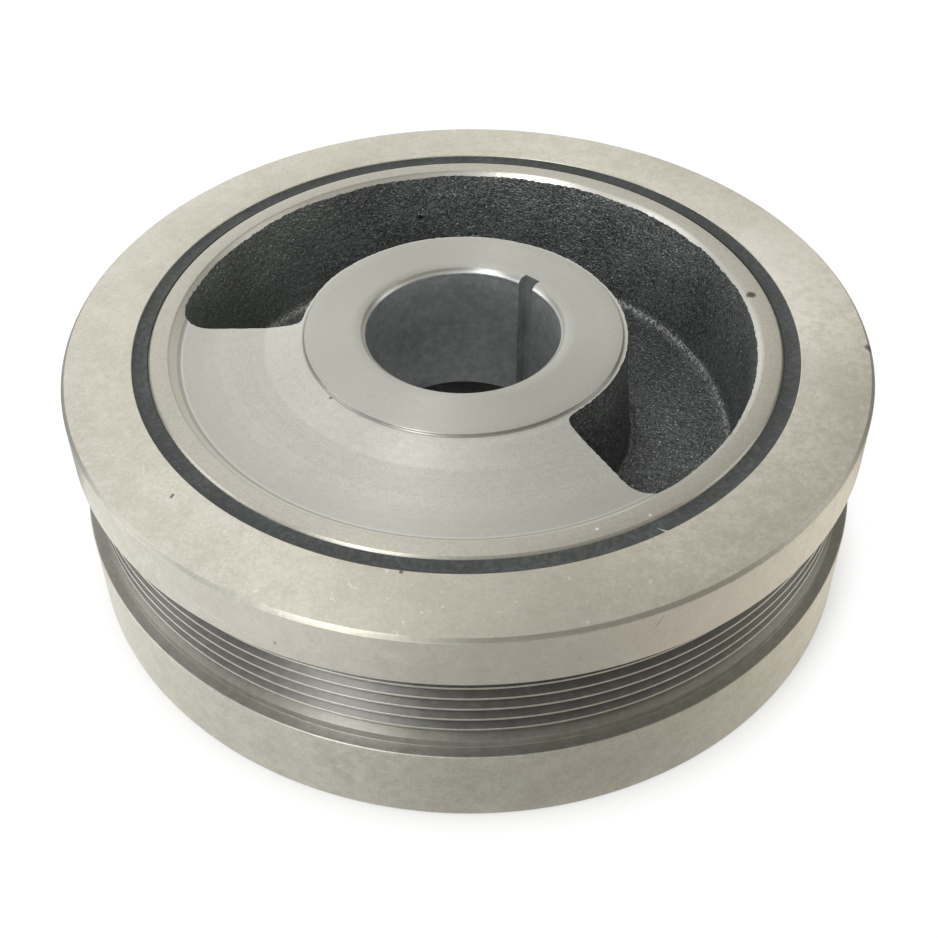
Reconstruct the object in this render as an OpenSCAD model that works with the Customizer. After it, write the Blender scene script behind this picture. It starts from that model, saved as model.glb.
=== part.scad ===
// Harmonic balancer for a crankshaft's front end, in millimetres.
// The bore axis is Z. Z = 0 is the plane of the inertia ring's rear face, on which the balancer stands,
// and the front face is at the top.
// A cast iron hub carries a heavy inertia ring through a bonded rubber ring. The ring's rim is a belt
// track with V ribs, and one side of the hub is cast away, which makes the other side a counterweight.

/* [Inertia ring] */
// Outer diameter over the two plain bands
ring_d = 206; // [180:1:240]
// Height of the ring along the axis
ring_h = 61; // [52:1:80]
// Radial thickness of the ring under its bands
ring_wall = 17.6; // [12:0.2:24]
// Height of the plain band above the belt track
front_band_h = 14; // [8:0.5:20]
// Chamfer round the outer edge of the front face
front_chamfer = 0.9; // [0.3:0.1:2]
// Chamfer round the outer edge of the rear face
rear_chamfer = 0.6; // [0.3:0.1:2]
// Small break on the ring's other machined edges
edge_break = 0.3; // [0.1:0.05:0.5]

/* [Belt track] */
// Number of V grooves
groove_count = 6; // [3:1:8]
// Distance from groove to groove
groove_pitch = 3.56; // [3:0.01:4]
// Angle between the two flanks of a groove
groove_angle = 40; // [34:1:44]
// Depth of a groove below the rib tips
groove_depth = 2.9; // [1.8:0.1:3]
// Width of the flat on each rib tip
rib_tip_w = 0.5; // [0.3:0.05:0.8]
// How far the rib tips lie below the bands
rib_sink = 3.2; // [1.5:0.1:5]
// How far the plain lands beside the ribs lie below the bands
land_sink = 2.7; // [1:0.1:4.5]
// Width of each plain land beside the ribs
land_w = 1.9; // [1:0.1:4]

/* [Rubber ring] */
// Radial thickness of the rubber between hub and ring
rubber_t = 3.9; // [2:0.1:7]
// How far the rubber's rear end lies above the rear face
rubber_rear_inset = 1.5; // [0.5:0.1:5]
// How far the rubber's front end dips between the two metal edges
rubber_dip = 0.4; // [0.1:0.05:0.8]

/* [Hub rim] */
// Radial width from the rim's recess to the rubber
rim_w = 5.2; // [3.5:0.1:8]
// Chamfer on the rim's front edge, against the rubber
rim_chamfer = 0.8; // [0.3:0.1:1.5]
// How far the hub's skirt ends above the rear face of the ring
skirt_inset = 1.5; // [0.5:0.1:5]
// Thickness of the skirt's wall at its rear end
skirt_wall = 6; // [4:0.5:8]

/* [Hub face] */
// Diameter of the boss
boss_d = 83; // [76:1:90]
// How far the boss face lies below the front face of the ring
boss_sink = 1.2; // [0:0.1:1.2]
// Break on the edge of the boss face
boss_break = 0.15; // [0.05:0.05:0.2]
// Chamfer in the foot of the boss, where it meets the ledge
boss_foot = 0.25; // [0.1:0.05:0.45]
// How far the ledge at the foot of the boss lies below the front face
ledge_sink = 1.9; // [1.9:0.1:2.4]
// Radial width of the ledge at the foot of the boss
ledge_w = 2.7; // [2:0.1:4]
// Radial width of the turned slope from the ledge down to the web face
slope_w = 7.6; // [5:0.1:10]
// How far the web face lies below the front face
web_sink = 2.9; // [2.6:0.1:4]
// Radial width of the web's outer band, which is dished up towards the rim
dish_w = 7.4; // [5:0.1:9]
// Rise of the dished band
dish_rise = 0.3; // [0.1:0.05:0.5]
// Slope of the recess's wall, from the dished band up to the rim
recess_slope = 45; // [38:1:55]
// Radius in the foot of the recess's wall
recess_foot_r = 1.5; // [0.5:0.1:2.5]
// Break on the rim's inner edge, at the top of the recess's wall
rim_break = 0.15; // [0.05:0.05:0.3]

/* [Bore] */
// Diameter of the bore on the crankshaft
bore_d = 50.8; // [40:0.1:56]
// Length of the hub from its boss face to its rear seat
hub_len = 41; // [36:0.5:44]
// Chamfer at the front of the bore
bore_chamfer = 1.2; // [0.5:0.1:2]
// Chamfer at the rear of the bore
bore_rear_chamfer = 0.6; // [0.3:0.1:1.5]
// Radial relief of the bore's front end
lead_relief = 0.15; // [0.05:0.05:0.5]
// Length of the relieved front end, from the boss face
lead_len = 9.2; // [5:0.1:15]
// Width of the key slot
key_w = 4.8; // [3:0.1:8]
// Depth of the key slot below the bore's wall
key_depth = 3.2; // [2:0.1:4]
// Direction of the key slot, counted from +X towards +Y
key_angle = 45; // [0:1:359]

/* [Cast pocket] */
// Direction of the pocket's middle, counted from +X towards +Y
pocket_angle = 58; // [0:1:359]
// Angle of the solid sector that is left as a counterweight
sector_angle = 120; // [90:1:150]
// How far each end wall stands off the radius that bounds the sector
end_offset = 2.5; // [1:0.1:5]
// Radius of the pocket's outer wall at its open edge
pocket_r = 75.2; // [75:0.1:75.6]
// Thickness of the cast skin round the turned boss, at the open edge
boss_skin = 1.1; // [0.5:0.1:2]
// Depth of the pocket below the front face of the ring
pocket_depth = 35; // [25:0.5:36]
// Draft of the cast walls
draft = 4.5; // [2:0.5:6]
// Plan radius of the corners at the outer wall, at the open edge
outer_corner_r = 7; // [6:0.5:9]
// Plan radius of the corners at the boss, at the open edge
inner_corner_r = 3.4; // [3.2:0.1:5]
// Radius of the fillet between the pocket's floor and its outer and end walls
floor_fillet = 3; // [2.5:0.1:3.5]
// Radius of the fillet at the foot of the boss
boss_fillet = 2.2; // [1:0.1:2.3]

/* [Hub back] */
// Diameter of the machined rear seat round the bore
seat_d = 76; // [66:1:84]
// How far the rear seat stands proud of the cast back
seat_rise = 0.8; // [0.4:0.1:2]
// Radius of the cast fillet between the back and the skirt
back_fillet = 4; // [2:0.5:6]

/* [Hidden] */
$fn = 96;
// How far a cut runs past the face that it opens
over = 5;
// How far a corner's round reaches past the walls that it joins, so that they cross cleanly
corner_bite = 0.3;

ring_r = ring_d / 2;
ring_in_r = ring_r - ring_wall;
hub_r = ring_in_r - rubber_t;
rim_in_r = hub_r - rim_w;
bore_r = bore_d / 2;
boss_r = boss_d / 2;
ledge_r = boss_r + ledge_w;
slope_r = ledge_r + slope_w;
skirt_in_r = hub_r - skirt_wall;

// Recess's wall: height of its foot's round, and radial width of its straight part
foot_h = recess_foot_r * (1 - cos(recess_slope));
recess_run = (web_sink - dish_rise - foot_h) / tan(recess_slope);
dish_out_r = rim_in_r - recess_run - recess_foot_r * sin(recess_slope);
dish_in_r = dish_out_r - dish_w;

boss_z = ring_h - boss_sink;
ledge_z = ring_h - ledge_sink;
web_z = ring_h - web_sink;
dish_z = web_z + dish_rise;
seat_z = boss_z - hub_len;
back_z = seat_z + seat_rise;
lead_z = boss_z - lead_len;
floor_z = ring_h - pocket_depth;
top_z = ring_h + over;

// Belt track
track_top_z = ring_h - front_band_h;
track_low_z = track_top_z - groove_count * groove_pitch - 2 * land_w;
rib_r = ring_r - rib_sink;
land_r = ring_r - land_sink;
root_r = rib_r - groove_depth;
mouth_half = (groove_pitch - rib_tip_w) / 2;
root_half = mouth_half - groove_depth * tan(groove_angle / 2);
first_groove_z = track_low_z + land_w + groove_pitch / 2;
last_groove_z = first_groove_z + (groove_count - 1) * groove_pitch;

// The four corners of each groove, from the rear one to the front one
grooves = [
    for (i = [0 : groove_count - 1])
    let (z = first_groove_z + i * groove_pitch)
    each [
        [rib_r, z - mouth_half],
        [root_r, z - root_half],
        [root_r, z + root_half],
        [rib_r, z + mouth_half]
    ]
];

// Radius of the arc that gives the rubber's dip
dip_r = (rubber_t ^ 2 / 4 + rubber_dip ^ 2) / (2 * rubber_dip);

// Shares of a fillet's radius: run and rise of its upper end on a drafted wall, and how far its centre
// stands off the line where that wall would meet the floor
fillet_run = cos(draft);
fillet_rise = 1 - sin(draft);
fillet_set = 1 / cos(draft) - tan(draft);

module inertia_ring() {
    color([0.76, 0.74, 0.69])
    rotate_extrude($fn = 180)
    polygon(concat(
        [
            [ring_in_r, edge_break],
            [ring_in_r + edge_break, 0],
            [ring_r - rear_chamfer, 0],
            [ring_r, rear_chamfer],
            [ring_r, track_low_z - edge_break],
            [ring_r - edge_break, track_low_z],
            [land_r, track_low_z],
            [land_r, first_groove_z - mouth_half]
        ],
        grooves,
        [
            [land_r, last_groove_z + mouth_half],
            [land_r, track_top_z],
            [ring_r - edge_break, track_top_z],
            [ring_r, track_top_z + edge_break],
            [ring_r, ring_h - front_chamfer],
            [ring_r - front_chamfer, ring_h],
            [ring_in_r + edge_break, ring_h],
            [ring_in_r, ring_h - edge_break]
        ]
    ));
}

// Bonded between the hub's rim and the inertia ring. Its front end dips in an arc
module rubber_ring() {
    front_z = ring_h - edge_break;
    color([0.24, 0.25, 0.27])
    rotate_extrude($fn = 180)
    difference() {
        translate([hub_r, rubber_rear_inset])
        square([rubber_t, front_z - rubber_rear_inset]);
        translate([hub_r + rubber_t / 2, front_z + dip_r - rubber_dip])
        circle(dip_r, $fn = 360);
    }
}

// The hub before its bore and pocket: boss, turned face, rim, skirt and rear seat
module hub_blank() {
    back_mid_r = skirt_in_r - (back_z - skirt_inset) * tan(draft) - back_fillet * fillet_set;
    back_end = [back_mid_r + back_fillet * fillet_run, back_z - back_fillet * fillet_rise];
    rotate_extrude($fn = 180)
    difference() {
        polygon([
            [0, seat_z],
            [seat_d / 2, seat_z],
            [seat_d / 2, back_z],
            [back_mid_r, back_z],
            back_end,
            [skirt_in_r, skirt_inset],
            [hub_r, skirt_inset],
            [hub_r, ring_h - rim_chamfer],
            [hub_r - rim_chamfer, ring_h],
            [rim_in_r + rim_break, ring_h],
            [rim_in_r - rim_break / tan(recess_slope), ring_h - rim_break],
            [rim_in_r - recess_run, dish_z + foot_h],
            [dish_out_r, dish_z + foot_h],
            [dish_out_r, dish_z],
            [dish_in_r, web_z],
            [slope_r, web_z],
            [ledge_r, ledge_z],
            [boss_r + boss_foot, ledge_z],
            [boss_r, ledge_z + boss_foot],
            [boss_r, boss_z - boss_break],
            [boss_r - boss_break, boss_z],
            [0, boss_z]
        ]);
        translate([dish_out_r, dish_z + recess_foot_r])
        circle(recess_foot_r);
        translate([back_mid_r, back_z - back_fillet])
        circle(back_fillet);
    }
}

module bore_cut() {
    lead_r = bore_r + lead_relief;
    rotate_extrude()
    polygon([
        [0, seat_z - over],
        [bore_r + bore_rear_chamfer + over, seat_z - over],
        [bore_r, seat_z + bore_rear_chamfer],
        [bore_r, lead_z],
        [lead_r, lead_z],
        [lead_r, boss_z - bore_chamfer],
        [lead_r + bore_chamfer + over, boss_z + over],
        [0, boss_z + over]
    ]);
    rotate([0, 0, key_angle])
    translate([0, -key_w / 2, seat_z - over])
    cube([bore_r + key_depth, key_w, hub_len + 2 * over]);
}

// Space inside the pocket's drafted outer wall, which has radius r at the open edge
module drafted_cup(r) {
    foot_r = r - pocket_depth * tan(draft);
    mid_r = foot_r - floor_fillet * fillet_set;
    rotate_extrude($fn = 120)
    union() {
        polygon([
            [0, floor_z],
            [mid_r, floor_z],
            [mid_r + floor_fillet * fillet_run, floor_z + floor_fillet * fillet_rise],
            [r + over * tan(draft), top_z],
            [0, top_z]
        ]);
        translate([mid_r, floor_z + floor_fillet])
        circle(floor_fillet);
    }
}

// The boss with its cast skin, and the fillet at its foot
module drafted_boss() {
    foot_r = boss_r + boss_skin + pocket_depth * tan(draft);
    mid_r = foot_r + boss_fillet * fillet_set;
    rotate_extrude($fn = 120)
    difference() {
        polygon([
            [0, floor_z - over],
            [mid_r, floor_z - over],
            [mid_r, floor_z],
            [mid_r - boss_fillet * fillet_run, floor_z + boss_fillet * fillet_rise],
            [boss_r + boss_skin - over * tan(draft), top_z],
            [0, top_z]
        ]);
        translate([mid_r, floor_z + boss_fillet])
        circle(boss_fillet);
    }
}

// Solid behind one end wall of the pocket. The wall runs out along X, and the solid lies towards +Y
module end_block() {
    foot_y = -end_offset - pocket_depth * tan(draft);
    mid_y = foot_y - floor_fillet * fillet_set;
    rotate([90, 0, 90])
    linear_extrude(2 * ring_d, center = true)
    difference() {
        polygon([
            [ring_d, floor_z - over],
            [mid_y, floor_z - over],
            [mid_y, floor_z],
            [mid_y + floor_fillet * fillet_run, floor_z + floor_fillet * fillet_rise],
            [over * tan(draft) - end_offset, top_z],
            [ring_d, top_z]
        ]);
        translate([mid_y, floor_z + floor_fillet])
        circle(floor_fillet);
    }
}

// Fills the corner between an end wall and a round wall of radius wall_r, and leaves it rounded.
// way is -1 at the outer wall and 1 at the boss
module corner(wall_r, round_r, way) {
    reach = wall_r + way * round_r;
    y = -end_offset - round_r;
    x = sqrt(reach ^ 2 - y ^ 2);
    tip_x = wall_r - way * over;
    tip_y = -end_offset + over;
    wide_r = round_r + corner_bite + over * tan(draft);
    difference() {
        translate([0, 0, floor_z - 1])
        linear_extrude(pocket_depth + over)
        polygon([[x, y], [x, tip_y], [tip_x, tip_y], [x * tip_x / reach, y * tip_x / reach]]);
        translate([x, y, floor_z - over])
        cylinder(
            h = pocket_depth + 2 * over,
            r1 = wide_r - (pocket_depth + 2 * over) * tan(draft),
            r2 = wide_r,
            $fn = 60
        );
    }
}

// Half-moon pocket, drawn about +X and then turned to its place
module pocket_cut() {
    rotate([0, 0, pocket_angle])
    difference() {
        drafted_cup(pocket_r);
        drafted_boss();
        intersection_for (side = [0, 1]) {
            mirror([0, side, 0])
            rotate([0, 0, 180 - sector_angle / 2])
            end_block();
        }
        for (side = [0, 1]) {
            mirror([0, side, 0])
            rotate([0, 0, 180 - sector_angle / 2]) {
                corner(pocket_r, outer_corner_r, -1);
                corner(boss_r + boss_skin, inner_corner_r, 1);
            }
        }
    }
}

module hub() {
    color([0.68, 0.68, 0.66])
    difference() {
        hub_blank();
        bore_cut();
        pocket_cut();
    }
}

hub();
rubber_ring();
inertia_ring();
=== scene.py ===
import math

import bmesh
import bpy
import numpy as np
from mathutils import Matrix, Vector, noise


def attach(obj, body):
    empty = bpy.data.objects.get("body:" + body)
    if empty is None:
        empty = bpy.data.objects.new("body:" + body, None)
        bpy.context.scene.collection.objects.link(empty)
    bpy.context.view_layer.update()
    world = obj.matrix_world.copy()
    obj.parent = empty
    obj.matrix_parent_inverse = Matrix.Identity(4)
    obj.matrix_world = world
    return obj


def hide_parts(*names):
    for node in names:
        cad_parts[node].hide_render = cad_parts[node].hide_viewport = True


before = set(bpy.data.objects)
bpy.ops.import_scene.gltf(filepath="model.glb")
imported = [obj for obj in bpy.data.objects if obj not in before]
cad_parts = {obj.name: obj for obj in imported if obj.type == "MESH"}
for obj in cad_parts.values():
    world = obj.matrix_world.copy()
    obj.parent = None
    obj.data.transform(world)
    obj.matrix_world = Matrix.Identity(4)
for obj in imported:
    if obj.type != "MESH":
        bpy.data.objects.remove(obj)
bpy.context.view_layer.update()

# Camera. It looks down at the front face by about 38 degrees, with a small roll. Its place, lens and
# shift were solved from the circles that the photograph shows.
CAMERA_AT = Vector((-0.01163, -0.26563, 0.26657))
TILT = math.radians(37.606)
ROLL = math.radians(-2.167)
camera_data = bpy.data.cameras.new("camera")
camera_data.sensor_width = 36.0
camera_data.lens = 49.5
camera_data.shift_x = 0.0544
camera_data.shift_y = -0.1575
camera_data.clip_start = 0.01
camera = bpy.data.objects.new("camera", camera_data)
right = Vector((1, 0, 0))
up = Vector((0, math.sin(TILT), math.cos(TILT)))
rolled_right = math.cos(ROLL) * right + math.sin(ROLL) * up
rolled_up = math.cos(ROLL) * up - math.sin(ROLL) * right
camera_axes = Matrix((rolled_right, rolled_up, rolled_right.cross(rolled_up))).transposed()
camera.matrix_world = Matrix.Translation(CAMERA_AT) @ camera_axes.to_4x4()
bpy.context.scene.collection.objects.link(camera)
bpy.context.scene.camera = camera
bpy.context.scene.view_settings.view_transform = "Standard"

# Floor. A white tabletop that keeps the balancer's soft shadow. The metal mirrors it bright at the
# sides, and darker straight in front of the balancer and behind it.
FLOOR_HALF = 4.0
FLOOR_Z = -0.0003
WHITE = (1, 1, 1, 1)
floor_mesh = bpy.data.meshes.new("floor")
floor_mesh.from_pydata([(-FLOOR_HALF, -FLOOR_HALF, FLOOR_Z), (FLOOR_HALF, -FLOOR_HALF, FLOOR_Z),
                        (FLOOR_HALF, FLOOR_HALF, FLOOR_Z), (-FLOOR_HALF, FLOOR_HALF, FLOOR_Z)],
                       [], [(0, 1, 2, 3)])
floor = bpy.data.objects.new("floor", floor_mesh)
bpy.context.scene.collection.objects.link(floor)


class Value:
    """One number that varies over a surface: plain arithmetic on it adds the Math nodes."""

    def __init__(self, mat, socket):
        self.mat = mat
        self.socket = socket

    def __add__(self, other):
        return self.mat.math("ADD", self, other)

    def __radd__(self, other):
        return self.mat.math("ADD", self, other)

    def __sub__(self, other):
        return self.mat.math("SUBTRACT", self, other)

    def __rsub__(self, other):
        return self.mat.math("SUBTRACT", other, self)

    def __mul__(self, other):
        return self.mat.math("MULTIPLY", self, other)

    def __rmul__(self, other):
        return self.mat.math("MULTIPLY", self, other)

    def __truediv__(self, other):
        return self.mat.math("DIVIDE", self, other)


class Surface:
    """A material or the surround under construction, with short ways to add the nodes that it needs."""

    BEARINGS = 24

    def __init__(self, name, surround=False):
        self.material = bpy.data.worlds.new(name) if surround else bpy.data.materials.new(name)
        self.material.use_nodes = True
        self.tree = self.material.node_tree
        self.tree.nodes.clear()
        self.output = self.node("ShaderNodeOutputWorld" if surround else "ShaderNodeOutputMaterial")
        self.place = self.node("ShaderNodeTexCoord").outputs["Generated" if surround else "Object"]

    def join(self, value, socket):
        if isinstance(value, Value):
            value = value.socket
        if isinstance(value, bpy.types.NodeSocket):
            self.tree.links.new(value, socket)
        else:
            socket.default_value = value

    def node(self, kind, settings={}, inputs={}):
        made = self.tree.nodes.new(kind)
        for key, value in settings.items():
            setattr(made, key, value)
        for key, value in inputs.items():
            self.join(value, made.inputs[key])
        return made

    def math(self, operation, *values):
        made = self.node("ShaderNodeMath", {"operation": operation}, dict(enumerate(values)))
        return Value(self, made.outputs[0])

    def vector(self, operation, *values):
        made = self.node("ShaderNodeVectorMath", {"operation": operation}, dict(enumerate(values)))
        return made.outputs[0]

    def mix(self, factor, first, second):
        """A colour between two colours. A Mix node keeps colours in inputs 6 and 7 and output 2."""
        made = self.node("ShaderNodeMix", {"data_type": "RGBA"}, {0: factor, 6: first, 7: second})
        return made.outputs[2]

    def ramp(self, value, low, high):
        """0 up to low, 1 from high on, and smooth between them."""
        made = self.node("ShaderNodeMapRange", {"interpolation_type": "SMOOTHSTEP"},
                         {"Value": value, "From Min": low, "From Max": high})
        return Value(self, made.outputs[0])

    def between(self, value, rise, fall):
        """A mask that comes up over one short range and goes down again over another."""
        return self.ramp(value, *rise) * (1.0 - self.ramp(value, *fall))

    def grain(self, scale, detail=3.0, roughness=0.55, place=None):
        made = self.node("ShaderNodeTexNoise", {}, {"Vector": place or self.place, "Scale": scale,
                                                    "Detail": detail, "Roughness": roughness})
        return Value(self, made.outputs["Fac"])

    def xyz(self):
        made = self.node("ShaderNodeSeparateXYZ", {}, {0: self.place})
        return [Value(self, made.outputs[i]) for i in range(3)]

    def radius(self):
        """Distance in metres from the Z axis."""
        x, y, _ = self.xyz()
        return self.math("SQRT", x * x + y * y)

    def turned(self, scale, stretch):
        """Fine rings as a lathe tool leaves them: noise that changes fast with radius and height only."""
        x, y, z = self.xyz()
        place = self.node("ShaderNodeCombineXYZ", {},
                          {0: self.radius() * scale, 1: z * scale, 2: (x + y) * stretch})
        return self.grain(1.0, 3.0, 0.6, place.outputs[0])

    def away(self, at, other=None):
        """Distance in metres to a point, or to the straight line between two points."""
        if other is not None:
            along = Vector(other) - Vector(at)
            run = self.node("ShaderNodeVectorMath", {"operation": "DOT_PRODUCT"},
                            {0: self.vector("SUBTRACT", self.place, at), 1: along / along.length_squared})
            share = self.math("MINIMUM", self.math("MAXIMUM", Value(self, run.outputs["Value"]), 0.0), 1.0)
            step = self.node("ShaderNodeVectorMath", {"operation": "SCALE"}, {0: along, "Scale": share})
            at = self.vector("ADD", at, step.outputs[0])
        gap = self.node("ShaderNodeVectorMath", {"operation": "DISTANCE"}, {0: self.place, 1: at})
        return Value(self, gap.outputs["Value"])

    def mark(self, size, at, other=None):
        """1 inside a round mark or a scratch, fading to 0 at its edge."""
        return 1.0 - self.ramp(self.away(at, other), size * 0.45, size)

    def around(self, values):
        """A number that changes with the bearing from the X axis, from one value for each 15 degrees."""
        x, y, _ = self.xyz()
        turn = self.math("ARCTAN2", y, x) / (2 * math.pi) + 0.5
        made = self.node("ShaderNodeValToRGB", {}, {"Fac": turn})
        half = self.BEARINGS // 2
        stops = made.color_ramp.elements
        stops[0].position = 0.5 / self.BEARINGS
        stops[1].position = (self.BEARINGS - 0.5) / self.BEARINGS
        for k in range(1, self.BEARINGS - 1):
            stops.new((k + 0.5) / self.BEARINGS)
        for stop, value in zip(stops, values[half:] + values[:half]):
            stop.color = (value, value, value, 1)
        return Value(self, made.outputs["Color"])

    def bump(self, height, distance):
        made = self.node("ShaderNodeBump", {}, {"Height": height, "Distance": distance, "Strength": 1.0})
        return made.outputs["Normal"]

    def finish(self, **inputs):
        """Closes the material with a Principled shader, whose sockets are named with _ for a space."""
        shader = self.node("ShaderNodeBsdfPrincipled", {},
                           {key.replace("_", " "): value for key, value in inputs.items()})
        self.join(shader.outputs[0], self.output.inputs[0])
        return self.material


table = Surface("tabletop")
cloud = table.grain(3.0, 2.0)
table.finish(Base_Color=table.mix(cloud, (0.80, 0.80, 0.80, 1), (0.84, 0.84, 0.84, 1)), Roughness=0.8)
lit = table.output.inputs[0].links[0].from_socket
x, y, z = table.xyz()
clear = table.ramp(table.radius(), 0.092, 0.112)
table_glow = table.around([0.40, 0.40, 0.40, 0.40, 0.40, 0.40, 0.40, 0.40, 0.40, 0.40, 0.40, 0.40,
                           1.16, 0.93, 0.81, 0.69, 0.53, 0.36, 0.36, 0.43, 0.58, 0.70, 0.89, 1.08])
warm = table.mix(table.ramp(x, -0.12, 0.15), WHITE, (1.07, 1.0, 0.91, 1))
mirrored = table.vector("MULTIPLY", warm, table_glow)
path = table.node("ShaderNodeLightPath")
for ray, share, shine in (("Is Camera Ray", 0.85, (1.1, 1.1, 1.1, 1)), ("Is Glossy Ray", 1.0, mirrored)):
    glow = table.node("ShaderNodeEmission", {}, {"Color": shine})
    share = share * clear * Value(table, path.outputs[ray])
    lit = table.node("ShaderNodeMixShader", {}, {0: share, 1: lit, 2: glow.outputs[0]}).outputs[0]
table.join(lit, table.output.inputs[0])
table.material.cycles.emission_sampling = "NONE"
floor_mesh.materials.append(table.material)

# Surround. A plain white room to the camera. The metal mirrors it from a low and a high band, with one
# strength for each 15 degrees of bearing, and a little warmer at the right.
room = Surface("surround", True)
bpy.context.scene.world = room.material
path = room.node("ShaderNodeLightPath")
x, y, z = room.xyz()
low = room.around([0.30, 0.30, 0.30, 0.66, 0.69, 0.80, 1.47, 1.35, 0.85, 0.64, 0.55, 0.87,
                   0.89, 0.80, 0.82, 1.00, 1.10, 1.05, 0.84, 0.62, 0.38, 0.30, 0.30, 0.44])
high = room.around([0.61, 0.53, 0.37, 0.30, 0.30, 1.40, 1.28, 0.92, 0.97, 1.03, 0.89, 0.78,
                    0.75, 0.72, 0.71, 0.62, 0.50, 0.33, 0.30, 0.30, 0.31, 0.52, 0.60, 0.62])
upper = room.ramp(z, 0.57, 0.71)
plain = room.math("MAXIMUM", Value(room, path.outputs["Is Camera Ray"]),
                  Value(room, path.outputs["Is Transmission Ray"]))
strength = plain + (1.0 - plain) * (low * (1.0 - upper) + high * upper)
warm = room.mix((1.0 - plain) * room.ramp(x, -0.2, 0.7), WHITE, (1.05, 1.0, 0.92, 1))
shine = room.node("ShaderNodeBackground", {}, {"Color": warm, "Strength": strength})
room.join(shine.outputs[0], room.output.inputs[0])

# Lamps. Three soft round lights aimed at the balancer: one high in front at the left, and a wide one
# at each side.
AIM = Vector((0, 0, 0.03))
for name, at, width, power in (("front", (-0.47, -0.58, 0.92), 0.3, 3.8),
                               ("left", (-1.3, 0.0, 0.5), 0.8, 2.7),
                               ("right", (1.3, 0.0, 0.5), 0.8, 1.8)):
    light = bpy.data.lights.new(name, "AREA")
    light.shape = "DISK"
    light.size = width
    light.energy = power
    lamp = bpy.data.objects.new(name, light)
    lamp.location = at
    lamp.rotation_euler = (AIM - Vector(at)).to_track_quat("-Z", "Y").to_euler()
    bpy.context.scene.collection.objects.link(lamp)

# Inertia ring. A heavy iron ring, fine turned all over. Its rim has a plain band, the track of a
# V-ribbed belt and a second plain band. The track has painted shade, and its rib tips stay bright.
TURNED_STEPS = 360
FRONT_Z = 61.0
RING_IN_R = 85.4
BAND_R = 103.0
CHAMFER_R = 102.1
CHAMFER_Z = 60.1
GROOVES = 6
PITCH = 3.56
RIB_R = 99.8
ROOT_R = 96.9
GROOVE_HALF = 1.53
ROOT_HALF = 0.47
LAND_R = 100.3
LAND_W = 1.9
TRACK_TOP = 47.0
TRACK_LOW = TRACK_TOP - GROOVES * PITCH - 2 * LAND_W
ARC_STEP = math.radians(24)
SIDE_SHARE = 0.45


def rounded(points):
    """Profile points (radius, height, edge rounding) in mm as a finer closed profile."""
    made = []
    count = len(points)
    for i in range(count):
        here = np.array(points[i][:2], float)
        radius = points[i][2]
        if radius <= 0:
            made.append(here)
            continue
        before = np.array(points[i - 1][:2], float) - here
        after = np.array(points[(i + 1) % count][:2], float) - here
        a = before / np.linalg.norm(before)
        b = after / np.linalg.norm(after)
        half = math.acos(max(-1.0, min(1.0, float(a @ b)))) / 2
        longest = SIDE_SHARE * min(np.linalg.norm(before), np.linalg.norm(after))
        reach = min(radius / math.tan(half), longest)
        radius = reach * math.tan(half)
        middle = here + (a + b) / np.linalg.norm(a + b) * radius / math.sin(half)
        start = here + a * reach - middle
        end = here + b * reach - middle
        turn = math.pi - 2 * half
        steps = max(2, int(math.ceil(turn / ARC_STEP)))
        side = math.copysign(1.0, start[0] * end[1] - start[1] * end[0])
        for k in range(steps + 1):
            t = side * turn * k / steps
            made.append(middle + np.array([start[0] * math.cos(t) - start[1] * math.sin(t),
                                           start[0] * math.sin(t) + start[1] * math.cos(t)]))
    return made


def new_object(name, points, faces):
    """A mesh object from points in mm."""
    mesh = bpy.data.meshes.new(name)
    mesh.from_pydata((points.reshape(-1, 3) / 1000).tolist(), [], faces.reshape(-1, 4).tolist())
    obj = bpy.data.objects.new(name, mesh)
    bpy.context.scene.collection.objects.link(obj)
    return obj


def revolve(name, profile, count, material_of=None):
    """A closed profile of (radius, height) in mm, turned about Z."""
    profile = np.array(profile)
    rows = len(profile)
    angles = np.arange(count) * 2 * math.pi / count
    verts = np.empty((count, rows, 3))
    verts[:, :, 0] = np.cos(angles)[:, None] * profile[:, 0]
    verts[:, :, 1] = np.sin(angles)[:, None] * profile[:, 0]
    verts[:, :, 2] = profile[:, 1]
    i, j = np.meshgrid(np.arange(count), np.arange(rows), indexing="ij")
    i2, j2 = (i + 1) % count, (j + 1) % rows
    obj = new_object(name, verts,
                     np.stack([i * rows + j, i2 * rows + j, i2 * rows + j2, i * rows + j2], axis=-1))
    if material_of is not None:
        index = np.array([material_of(*((profile[k] + profile[(k + 1) % rows]) / 2)) for k in range(rows)])
        obj.data.polygons.foreach_set("material_index", np.tile(index, count))
    return obj


def smooth(obj, degrees):
    obj.data.polygons.foreach_set("use_smooth", [True] * len(obj.data.polygons))
    obj.data.set_sharp_from_angle(angle=math.radians(degrees))


ring_profile = [(RING_IN_R, 0, 0.3), (BAND_R, 0, 0.6), (BAND_R, TRACK_LOW, 0.25), (LAND_R, TRACK_LOW, 0.15)]
for groove in range(GROOVES):
    middle = TRACK_LOW + LAND_W + PITCH * (groove + 0.5)
    low_r = LAND_R if groove == 0 else RIB_R
    high_r = LAND_R if groove == GROOVES - 1 else RIB_R
    ring_profile += [(low_r, middle - GROOVE_HALF, 0.12), (ROOT_R, middle - ROOT_HALF, 0.25),
                     (ROOT_R, middle + ROOT_HALF, 0.25), (high_r, middle + GROOVE_HALF, 0.12)]
ring_profile += [(LAND_R, TRACK_TOP, 0.15), (BAND_R, TRACK_TOP, 0.25), (BAND_R, CHAMFER_Z, 0.15),
                 (CHAMFER_R, FRONT_Z, 0.15), (RING_IN_R, FRONT_Z, 0.25)]
inertia_ring = revolve("inertia_ring_turned", rounded(ring_profile), TURNED_STEPS)
smooth(inertia_ring, 32)

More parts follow.
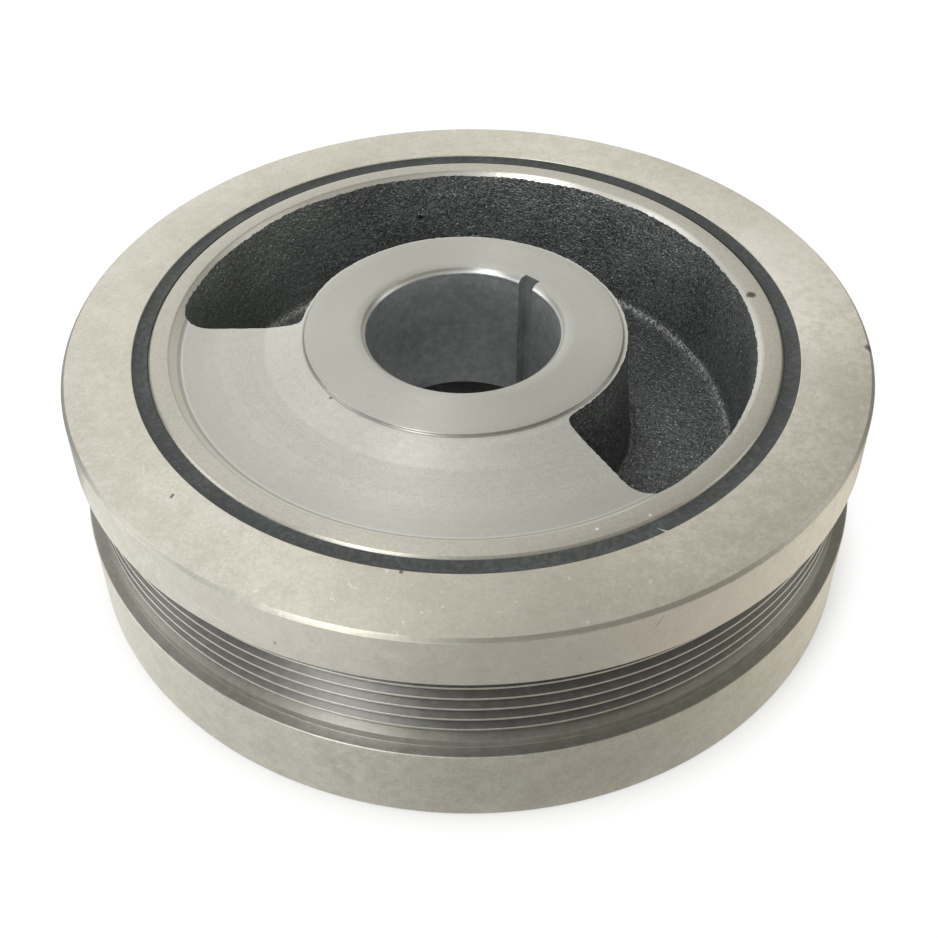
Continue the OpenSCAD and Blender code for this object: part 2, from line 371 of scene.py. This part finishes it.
iron = Surface("turned_iron_ring")
fine = iron.grain(1500.0, 3.0, 0.7)
mottle = iron.grain(420.0, 4.0, 0.65)
blotch = iron.grain(190.0, 4.0, 0.65)
cloud = iron.grain(45.0, 2.0)
rings = iron.turned(9000.0, 60.0)
x, y, z = iron.xyz()
radius = iron.radius()
tone = 0.36 * fine + 0.20 * mottle + 0.24 * blotch + 0.1 * cloud + 0.1 * rings
colour = iron.mix(iron.ramp(tone, 0.39, 0.61), (0.56, 0.54, 0.455, 1), (0.695, 0.678, 0.598, 1))

# Painted shade at the front of the face, painted light at its right and on the upper band in front.
on_face = iron.ramp(z, 0.0600, 0.0605)
front_shade = iron.mark(0.045, (-0.004, -0.094, 0.061)) * on_face
colour = iron.mix(front_shade * 0.34, colour, (0.27, 0.255, 0.21, 1))
right_light = iron.mark(0.042, (0.1, 0.012, 0.061)) * on_face
colour = iron.mix(right_light * 0.4, colour, (0.95, 0.91, 0.83, 1))
front = iron.between(z, (0.047, 0.0475), (0.0598, 0.0602)) * (1.0 - iron.ramp(y, -0.095, -0.06))
colour = iron.mix(front * 0.4, colour, (0.86, 0.81, 0.74, 1))

# Grain of the iron: bright flecks, brown stains at the right and front of the face, and dark pores.
fleck = iron.ramp(iron.grain(520.0, 2.0, 0.6), 0.66, 0.74)
colour = iron.mix(fleck * 0.42, colour, (0.82, 0.81, 0.76, 1))
stain = iron.ramp(iron.grain(430.0, 4.0, 0.7), 0.44, 0.62) * iron.ramp(x - y, 0.02, 0.12)
colour = iron.mix(stain * iron.ramp(z, 0.0595, 0.0605) * 0.42, colour, (0.53, 0.485, 0.38, 1))
pepper = iron.ramp(iron.grain(1000.0, 2.0, 0.5), 0.68, 0.76)
colour = iron.mix(pepper * 0.25, colour, (0.25, 0.23, 0.20, 1))

# Painted shade on the front chamfer, except for a bright stretch.
chamfer = iron.between(radius, (0.10205, 0.10225), (0.10285, 0.10298)) * iron.ramp(z, 0.05, 0.055)
chamfer = chamfer * (0.12 + 0.5 * iron.ramp(iron.math("ABSOLUTE", x + 0.033), 0.018, 0.034))
colour = iron.mix(chamfer, colour, (0.34, 0.33, 0.29, 1))
# Painted shade in the track, less on its rib tips and its low shoulder.
track_shade = iron.between(radius, (0.094, 0.095), (0.1026, 0.1029))
track_shade = track_shade * iron.between(z, (0.0215, 0.0218), (0.0470, 0.0473))
tip = iron.between(radius, (0.09966, 0.09974), (0.09985, 0.0999)) * iron.ramp(z, 0.025, 0.0255)
shoulder = 0.35 * (1.0 - iron.ramp(z, 0.0245, 0.0252))
colour = iron.mix(track_shade * (1.0 - 0.85 * tip) * (1.0 - shoulder), colour,
                  iron.mix(mottle, (0.125, 0.125, 0.117, 1), (0.285, 0.28, 0.26, 1)))

# Marks of this ring: a nick at the right edge, dark specks and short dark scratches, and a bright scratch.
dark = (iron.mark(0.00045, (-0.06830, -0.0598, 0.061), (-0.06800, -0.0590, 0.061))
        + iron.mark(0.0019, (0.1013, -0.0166, 0.061))
        + iron.mark(0.0006, (-0.01714, -0.08421, 0.061))
        + 0.5 * iron.mark(0.0006, (-0.04388, -0.09319, 0.05074))
        + 0.25 * iron.mark(0.0004, (0.0358, -0.0966, 0.0588), (0.0343, -0.0971, 0.0562)))
colour = iron.mix(dark * 0.8, colour, (0.07, 0.065, 0.06, 1))
scratch = iron.mark(0.00035, (-0.06215, -0.08214, 0.0513), (-0.05627, -0.08627, 0.05039))
colour = iron.mix(scratch * 0.5, colour, (0.85, 0.84, 0.8, 1))

# Turning leaves fine grooves along the circle, so the shine spreads across them.
TURNED_SHINE = dict(Metallic=0.92, Anisotropic=0.8, Anisotropic_Rotation=0.25)
inertia_ring.data.materials.append(iron.finish(
    Base_Color=colour, Roughness=0.30 + 0.16 * mottle + 0.08 * rings,
    Normal=iron.bump(0.5 * rings + 0.3 * mottle + 0.2 * fine, 0.00004), **TURNED_SHINE))
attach(inertia_ring, "root")
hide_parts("inertia_ring")

# Rubber ring. Black elastomer bonded between the hub's rim and the inertia ring. Its front end dips
# between the two metal edges, and its skin is dull, with a little grey dust from the turning.
RUBBER_IN_R = 81.5
RUBBER_LOW = 1.5
RUBBER_TOP = 60.7
DIP = 0.4
rubber_t = RING_IN_R - RUBBER_IN_R
dip = [(RUBBER_IN_R + rubber_t * t, RUBBER_TOP - DIP * math.sin(math.pi * t) ** 0.7)
       for t in np.linspace(1, 0, 11)]
rubber_profile = [(RUBBER_IN_R, RUBBER_LOW), (RING_IN_R, RUBBER_LOW)] + dip
rubber_ring = revolve("rubber_band", rubber_profile, TURNED_STEPS)
smooth(rubber_ring, 40)

rubber = Surface("bonded_rubber")
dust = rubber.grain(900.0, 4.0, 0.6)
cloud = rubber.grain(60.0, 2.0)
colour = rubber.mix(rubber.ramp(0.7 * dust + 0.3 * cloud, 0.4, 0.75),
                    (0.040, 0.044, 0.043, 1), (0.094, 0.101, 0.096, 1))
scrape = rubber.mark(0.0004, (0.03828, -0.0740, 0.0606), (0.03999, -0.07526, 0.0606))
rubber_ring.data.materials.append(rubber.finish(
    Base_Color=rubber.mix(scrape * 0.8, colour, (0.55, 0.55, 0.52, 1)),
    Roughness=0.6 + 0.2 * dust, Normal=rubber.bump(dust, 0.00008)))
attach(rubber_ring, "root")
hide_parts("rubber_ring")

# Hub. One grey-iron casting: the front, the bore and the rear seat are turned bright, and the
# half-moon pocket on one side and the back keep their dark, sand-cast skin.
TURNED, CAST, BORED = 0, 1, 2
DRAFT = 4.5
DRAFT_SLOPE = math.tan(math.radians(DRAFT))
SEAT_R = 38
SEAT_Z = 18.8
BACK_Z = 19.6
BACK_CORNER = 4
SKIRT_Z = 1.5
SKIRT_IN_R = 75.5
RIM_CHAMFER = 0.8
WEB_Z = 58.1
DISH_R = 73.08
DISH_CORNER = 1.5
LEDGE_Z = 59.1
BOSS_Z = 59.8
INSIDE_BORE_R = 20
back_end_r = SKIRT_IN_R - (BACK_Z - SKIRT_Z) * DRAFT_SLOPE


def arc_points(x, y, r, a0, a1, steps):
    """Profile points along an arc, from one angle to another in degrees."""
    angles = [math.radians(a0 + (a1 - a0) * k / steps) for k in range(steps + 1)]
    return [(x + r * math.cos(angle), y + r * math.sin(angle), 0) for angle in angles]


def hub_material(radius, height):
    """The cast skin on the back and inside the skirt, and turned iron elsewhere."""
    return CAST if 1.8 < height < 40 and SEAT_R + 0.1 < radius < 80 else TURNED


hub_profile = [(INSIDE_BORE_R, SEAT_Z, 0), (30, SEAT_Z, 0), (SEAT_R, SEAT_Z, 0.2), (SEAT_R, BACK_Z, 0.3),
               (50, BACK_Z, 0), (62, BACK_Z, 0)]
hub_profile += arc_points(back_end_r - BACK_CORNER, BACK_Z - BACK_CORNER, BACK_CORNER, 90, DRAFT, 8)
hub_profile += [(SKIRT_IN_R, SKIRT_Z, 0.5), (RUBBER_IN_R, SKIRT_Z, 0.5), (RUBBER_IN_R, 30, 0),
                (RUBBER_IN_R, FRONT_Z - RIM_CHAMFER, 0.15), (RUBBER_IN_R - RIM_CHAMFER, FRONT_Z, 0.15),
                (78.5, FRONT_Z, 0), (76.4, FRONT_Z, 0.1), (76.2, FRONT_Z - 0.1, 0.1)]
hub_profile += arc_points(DISH_R, WEB_Z + 0.3 + DISH_CORNER, DISH_CORNER, -45, -90, 6)
hub_profile += [(69.4, WEB_Z + 0.15, 0), (DISH_R - 7.4, WEB_Z, 0), (61.5, WEB_Z, 0), (58, WEB_Z, 0),
                (55, WEB_Z, 0), (51.8, WEB_Z, 0.3), (49.2, 58.44, 0), (46.7, 58.77, 0), (44.2, LEDGE_Z, 0.3),
                (41.8, LEDGE_Z, 0.2), (41.5, 59.4, 0.1), (41.5, 59.65, 0.1), (41.35, BOSS_Z, 0.05)]
hub_profile += [(radius, BOSS_Z, 0) for radius in (38.5, 35.5, 32.5, 29.5, INSIDE_BORE_R)]
hub = revolve("hub_casting", rounded(hub_profile), TURNED_STEPS, hub_material)

# The pocket's core, as the foundry would make it: a half-moon with draft, standing out of the front.
POCKET_OUTER_R = 75.2
POCKET_BOSS_R = 42.6
POCKET_WALL = 2.5
POCKET_HALF = math.radians(120)
POCKET_TURN = math.radians(58)
POCKET_FLOOR_Z = 26.0
POCKET_FOOT = 3.0
OUTER_CORNER = 7.0
INNER_CORNER = 3.4
CORE_TOP = 66.0
SPINE_R = 58.5
SPINE_END = math.radians(107)
FOOT_STEPS = 6


def circle(radius, angles):
    return [radius * np.array([math.cos(t), math.sin(t)]) for t in angles]


def pocket_loop(shrink, outer_corner, inner_corner):
    """Plan outline of the pocket at one depth, as points in the pocket's own frame, symmetric about X."""
    outer_r = POCKET_OUTER_R - shrink
    boss_r = POCKET_BOSS_R + shrink
    along = np.array([math.cos(POCKET_HALF), math.sin(POCKET_HALF)])
    inward = np.array([math.sin(POCKET_HALF), -math.cos(POCKET_HALF)])

    def corner(radius, reach):
        aside = POCKET_WALL + shrink + radius
        return along * math.sqrt(reach ** 2 - aside ** 2) + inward * aside

    outer = corner(outer_corner, outer_r - outer_corner)
    inner = corner(inner_corner, boss_r + inner_corner)
    outer_angle = math.atan2(outer[1], outer[0])
    inner_angle = math.atan2(inner[1], inner[0])
    wall_angle = math.atan2(-inward[1], -inward[0])
    points = circle(outer_r, np.linspace(0, outer_angle, 190, endpoint=False))
    turn = (wall_angle - outer_angle) % (2 * math.pi)
    points += [outer + p for p in circle(outer_corner,
                                         outer_angle + turn * np.linspace(0, 1, 18, endpoint=False))]
    start = outer - inward * outer_corner
    end = inner - inward * inner_corner
    points += [start + (end - start) * t for t in np.linspace(0, 1, 24, endpoint=False)]
    turn = (inner_angle + math.pi - wall_angle) % (2 * math.pi)
    points += [inner + p for p in circle(inner_corner,
                                         wall_angle + turn * np.linspace(0, 1, 10, endpoint=False))]
    points += circle(boss_r, np.linspace(inner_angle, 0, 120))
    points = np.array(points)
    return np.vstack([points, points[1:-1][::-1] * [1, -1]])


def closing(loop, share, height):
    """The outline at one height, moved a share of the way to the half-moon's middle arc."""
    angle = np.clip(np.arctan2(loop[:, 1], loop[:, 0]), -SPINE_END, SPINE_END)
    spine = np.stack([SPINE_R * np.cos(angle), SPINE_R * np.sin(angle)], axis=-1)
    return np.column_stack([loop + (spine - loop) * share, np.full(len(loop), height)])


foot_z = POCKET_FLOOR_Z + POCKET_FOOT
levels = [((FRONT_Z - height) * DRAFT_SLOPE, height, 0.0) for height in np.linspace(CORE_TOP, foot_z, 54)]
for step in range(1, FOOT_STEPS + 1):
    angle = math.radians(90 * step / FOOT_STEPS)
    drop = POCKET_FOOT * (1 - math.cos(angle))
    levels.append(((FRONT_Z - foot_z) * DRAFT_SLOPE + drop, foot_z - POCKET_FOOT * math.sin(angle), drop))
loops = [pocket_loop(shrink, OUTER_CORNER - drop, INNER_CORNER - drop) for shrink, height, drop in levels]
rows = [closing(loops[0], share, CORE_TOP) for share in (1.0, 0.5)]
rows += [closing(loop, 0.0, height) for loop, (shrink, height, drop) in zip(loops, levels)]
rows += [closing(loops[-1], share, POCKET_FLOOR_Z) for share in np.linspace(0, 1, 22)[1:]]
rows = np.array(rows)
cos, sin = math.cos(POCKET_TURN), math.sin(POCKET_TURN)
rows[:, :, :2] = rows[:, :, :2] @ np.array([[cos, -sin], [sin, cos]]).T

# The sand mould's grain moves the pocket's walls in and out a little, and so frays its machined edge.
row_count, loop_count = rows.shape[:2]
across = np.roll(rows, -1, axis=1) - np.roll(rows, 1, axis=1)
down = np.gradient(rows, axis=0)
normals = np.cross(across, down)
normals /= np.maximum(np.linalg.norm(normals, axis=2, keepdims=True), 1e-9)
for i in range(2, row_count - 1):
    for j in range(loop_count):
        p = Vector(rows[i, j])
        lift = (0.22 * noise.noise(p * 0.08) + 0.10 * noise.noise(p * 0.6 + Vector((7, 3, 1)))
                + 0.22 * noise.noise(p * 1.3 + Vector((2, 9, 4))))
        rows[i, j] += normals[i, j] * lift
i, j = np.meshgrid(np.arange(row_count - 1), np.arange(loop_count), indexing="ij")
here, below = i * loop_count, (i + 1) * loop_count
j2 = (j + 1) % loop_count
pocket = new_object("pocket_core", rows, np.stack([here + j, here + j2, below + j2, below + j], axis=-1))
pocket.data.polygons.foreach_set("material_index", [CAST] * len(pocket.data.polygons))
work = bmesh.new()
work.from_mesh(pocket.data)
bmesh.ops.remove_doubles(work, verts=work.verts, dist=1e-6)
bmesh.ops.recalc_face_normals(work, faces=work.faces)
work.to_mesh(pocket.data)
work.free()

# The bore is relieved by 0.1 mm in front and chamfered at both ends.
BORE_R = 25.4
RELIEF_R = 25.5
MOUTH_Z = 58.7


def bore_material(radius, height):
    """Turned iron on the chamfer of the front mouth, and the bored wall below it."""
    return TURNED if height > MOUTH_Z else BORED


bore_profile = [(0.01, 15, 0), (27, 17.8, 0), (BORE_R, 19.4, 0.1), (BORE_R, 30, 0), (BORE_R, 40, 0),
                (BORE_R, 50.0, 0), (RELIEF_R, 51.0, 0), (RELIEF_R, 58.6, 0.6), (26.4, 59.5, 0.3),
                (26.68, 59.72, 0.1), (27.0, 59.88, 0), (27.6, FRONT_Z, 0), (0.01, 64, 0)]
bore = revolve("bore_tool", rounded(bore_profile), 240, bore_material)

# The key slot runs the whole length of the bore at 45 degrees. Its cutter is a bar, in metres.
KEY_REACH = 0.0286
KEY_W = 0.0048
KEY_CUT = 0.06
KEY_MIDDLE_Z = 0.04
KEY_TURN = math.radians(45)
key_mesh = bpy.data.meshes.new("key_tool")
key = bpy.data.objects.new("key_tool", key_mesh)
bpy.context.scene.collection.objects.link(key)
work = bmesh.new()
bmesh.ops.create_cube(work, size=1.0)
bmesh.ops.scale(work, vec=(KEY_REACH, KEY_W, KEY_CUT), verts=work.verts)
bmesh.ops.translate(work, vec=(KEY_REACH / 2, 0, KEY_MIDDLE_Z), verts=work.verts)
bmesh.ops.rotate(work, cent=(0, 0, 0), matrix=Matrix.Rotation(KEY_TURN, 3, "Z"), verts=work.verts)
for face in work.faces:
    face.material_index = BORED
work.to_mesh(key_mesh)
work.free()

turned = Surface("turned_iron_hub")
fine = turned.grain(1500.0, 3.0, 0.7)
mottle = turned.grain(420.0, 3.0, 0.65)
rings = turned.turned(7000.0, 40.0)
bands = turned.turned(900.0, 12.0)
x, y, z = turned.xyz()
radius = turned.radius()
tone = turned.ramp(0.4 * fine + 0.25 * mottle + 0.2 * rings + 0.15 * bands, 0.38, 0.62)
colour = turned.mix(tone, (0.46, 0.46, 0.42, 1), (0.56, 0.56, 0.51, 1))

# Each cut of the lathe has its own shade: rim, ledge round the boss, boss, and the outer web.
rim = turned.ramp(radius, 0.0757, 0.0764)
rim_tone = turned.ramp(0.7 * fine + 0.3 * rings, 0.35, 0.65)
colour = turned.mix(rim, colour, turned.mix(rim_tone, (0.455, 0.44, 0.375, 1), (0.535, 0.52, 0.45, 1)))
ledge = turned.between(radius, (0.0413, 0.0416), (0.0508, 0.0528))
colour = turned.mix(ledge, colour, turned.mix(tone, (0.52, 0.52, 0.475, 1), (0.62, 0.62, 0.57, 1)))
boss = 1.0 - turned.ramp(radius, 0.0413, 0.0416)
outer = turned.ramp(radius, 0.062, 0.070) * (1.0 - rim)
colour = turned.mix(0.55 * boss + 0.5 * outer, colour, (0.44, 0.44, 0.40, 1))

# Steps and edges: painted shade at the boss's foot and in the recess's crease, and painted highlights.
# Painted shade on the step at the boss's foot.
step = turned.between(radius, (0.0413, 0.0415), (0.0419, 0.0422)) * (1.0 - turned.ramp(z, 0.0596, 0.0598))
colour = turned.mix(0.5 * step, colour, (0.16, 0.155, 0.14, 1))
# Painted highlight on the wall of the recess.
wall = turned.ramp(radius, 0.0735, 0.0738) * (1.0 - rim)
colour = turned.mix(0.85 * wall, colour, (0.74, 0.725, 0.65, 1))
# Painted shade in the crease of the recess.
crease_shade = turned.between(radius, (0.0733, 0.0735), (0.0741, 0.0743))
colour = turned.mix(0.5 * crease_shade, colour, (0.24, 0.235, 0.21, 1))
# Painted highlight along the foot of the recess's fillet.
foot_highlight = turned.between(radius, (0.0727, 0.0729), (0.0732, 0.0734))
colour = turned.mix(0.3 * foot_highlight, colour, (0.72, 0.70, 0.62, 1))
# Painted highlight at the front edge of the bore.
edge = (1.0 - turned.ramp(radius, 0.0259, 0.0262)) * turned.ramp(z, 0.0584, 0.0587)
colour = turned.mix(0.6 * edge, colour, (0.85, 0.85, 0.82, 1))

# Marks of this hub: a pit in the rim, a dark speck by the boss, and two bright specks.
dark = turned.mark(0.0017, (0.07684, 0.00729, 0.0607)) + turned.mark(0.0005, (-0.03375, -0.02578, 0.059))
colour = turned.mix(dark * 0.95, colour, (0.09, 0.08, 0.06, 1))
bright = turned.mark(0.0006, (0.03713, -0.07071, 0.0607)) + turned.mark(0.0005, (0.02513, -0.0742, 0.061))
colour = turned.mix(bright, colour, (0.95, 0.93, 0.85, 1))
turned_iron = turned.finish(
    Base_Color=colour, Roughness=0.28 + 0.10 * mottle + 0.10 * rings + 0.04 * bands,
    Normal=turned.bump(0.6 * rings + 0.2 * mottle + 0.2 * fine, 0.00004), **TURNED_SHINE)

# The cast skin: sand grain with painted glints, painted light at the left and painted shade on the pocket's
# floor, a painted highlight along the line where the floor meets the wall, and three small pits.
cast = Surface("sand_cast_iron")
sand = cast.grain(1400.0, 2.0, 0.6)
lumps = cast.grain(700.0, 3.0, 0.6)
cloud = cast.grain(60.0, 3.0, 0.6)
x, y, z = cast.xyz()
tone = 0.4 * sand + 0.35 * lumps + 0.25 * cloud
colour = cast.mix(cast.ramp(tone, 0.36, 0.66), (0.085, 0.092, 0.090, 1), (0.275, 0.295, 0.285, 1))
# Painted light at the left of the pocket.
colour = cast.mix(0.4 * (1.0 - cast.ramp(x, -0.06, -0.02)), colour, (0.36, 0.385, 0.37, 1))
# Painted shade on the pocket's floor.
colour = cast.mix(0.3 * (1.0 - cast.ramp(z, 0.0262, 0.0275)), colour, (0.07, 0.075, 0.073, 1))
# Painted glints in the sand grain.
painted_glint = cast.ramp(cast.grain(1800.0, 1.0, 0.5), 0.64, 0.69)
# Painted highlight along the line where the floor meets the wall.
foot_highlight = cast.between(z, (0.0264, 0.0268), (0.0273, 0.0278)) * cast.ramp(sand, 0.4, 0.6)
colour = cast.mix(painted_glint * 0.7 + foot_highlight * 0.5, colour, (0.75, 0.75, 0.73, 1))
pits = (cast.mark(0.0012, (-0.00946, 0.0734, 0.0460)) + cast.mark(0.0009, (0.0482, 0.0556, 0.0464))
        + cast.mark(0.0009, (0.0462, 0.0579, 0.0530)))
colour = cast.mix(pits * 0.8, colour, (0.02, 0.02, 0.02, 1))
cast_iron = cast.finish(
    Base_Color=colour, Metallic=0.7, Roughness=0.34 + 0.2 * sand,
    Normal=cast.bump(0.65 * sand + 0.35 * lumps - 0.8 * pits, 0.0006))

# The bore's wall and the key slot: plain bored iron, a little cooler in colour than the turned front.
bored = Surface("bored_iron")
mottle = bored.grain(500.0, 3.0, 0.6)
rings = bored.turned(5000.0, 30.0)
cloud = bored.grain(90.0, 3.0, 0.6)
tone = bored.ramp(0.4 * mottle + 0.3 * rings + 0.3 * cloud, 0.35, 0.65)
bored_iron = bored.finish(
    Base_Color=bored.mix(tone, (0.40, 0.42, 0.415, 1), (0.62, 0.65, 0.64, 1)),
    Metallic=0.8, Roughness=0.3 + 0.15 * rings, Normal=bored.bump(rings, 0.00003))

# The pocket, the bore and the key slot are cut out of the turned body.
for obj in (hub, pocket, bore, key):
    for material in (turned_iron, cast_iron, bored_iron):
        obj.data.materials.append(material)
for tool in (pocket, bore, key):
    cut = hub.modifiers.new(tool.name, "BOOLEAN")
    cut.operation = "DIFFERENCE"
    cut.solver = "EXACT"
    cut.object = tool
hub.data = bpy.data.meshes.new_from_object(hub.evaluated_get(bpy.context.evaluated_depsgraph_get()))
hub.modifiers.clear()
for tool in (pocket, bore, key):
    bpy.data.objects.remove(tool)
smooth(hub, 32)
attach(hub, "root")
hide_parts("hub")
